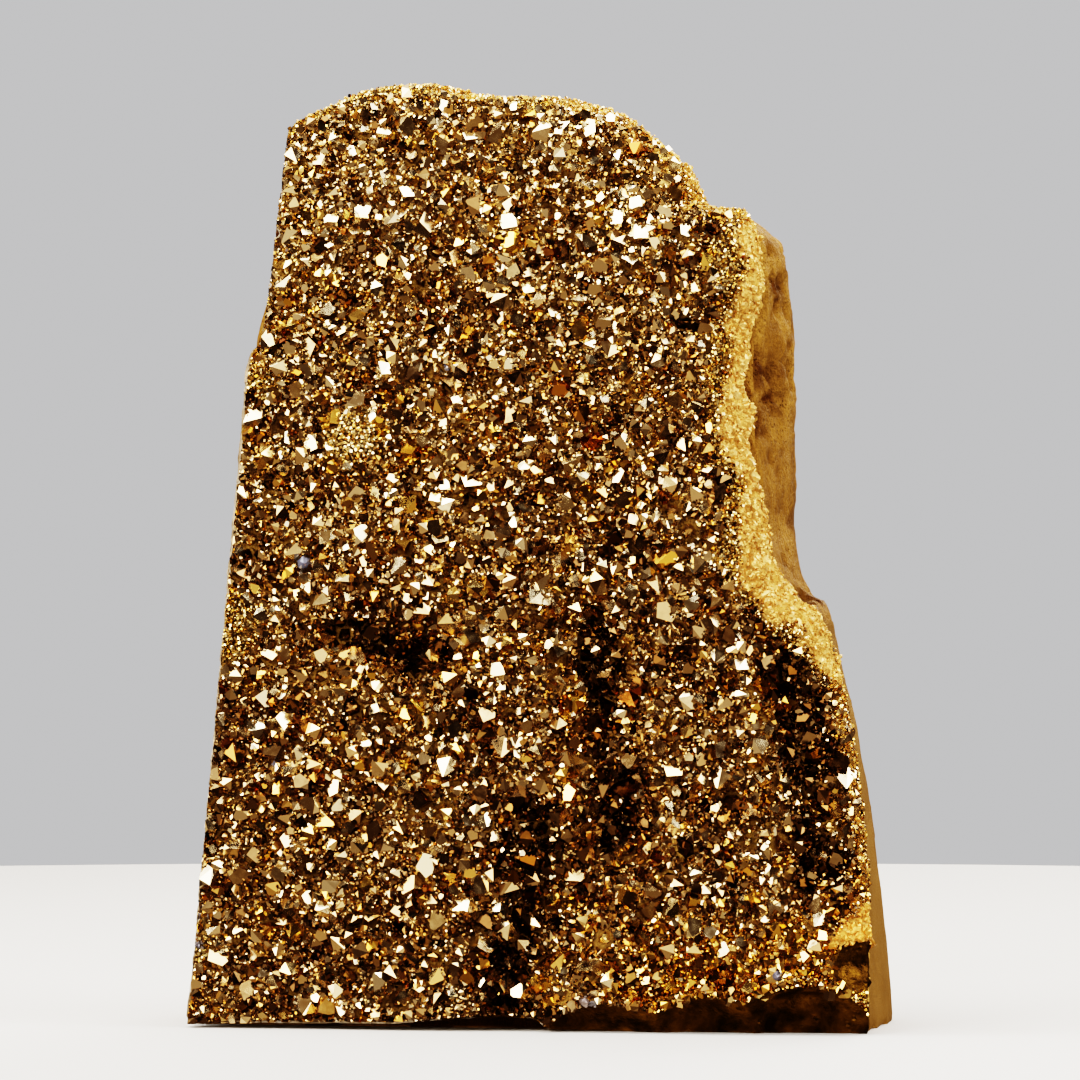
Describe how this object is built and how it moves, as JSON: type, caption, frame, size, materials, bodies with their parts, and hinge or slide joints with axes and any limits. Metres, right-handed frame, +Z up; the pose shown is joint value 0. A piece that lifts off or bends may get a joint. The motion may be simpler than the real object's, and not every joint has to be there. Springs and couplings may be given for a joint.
{
  "type": "aura amethyst druzy",
  "caption": "Upright slab of geode rock with a sawn base, one face covered in small gold-coated quartz points.",
  "frame": {"origin": "middle of the footprint's bounding box, on the sawn base", "axes": "+Z up, the druzy face looks along -Y, +X to the right as the face is seen"},
  "size_m": [0.1013, 0.0467, 0.1376],
  "materials": {
    "gold_crystal": "polished",
    "gold_rock": "satin"
  },
  "bodies": {
    "root": {"crystal_crust": "gold_crystal", "matrix": "gold_rock"}
  },
  "joints": []
}
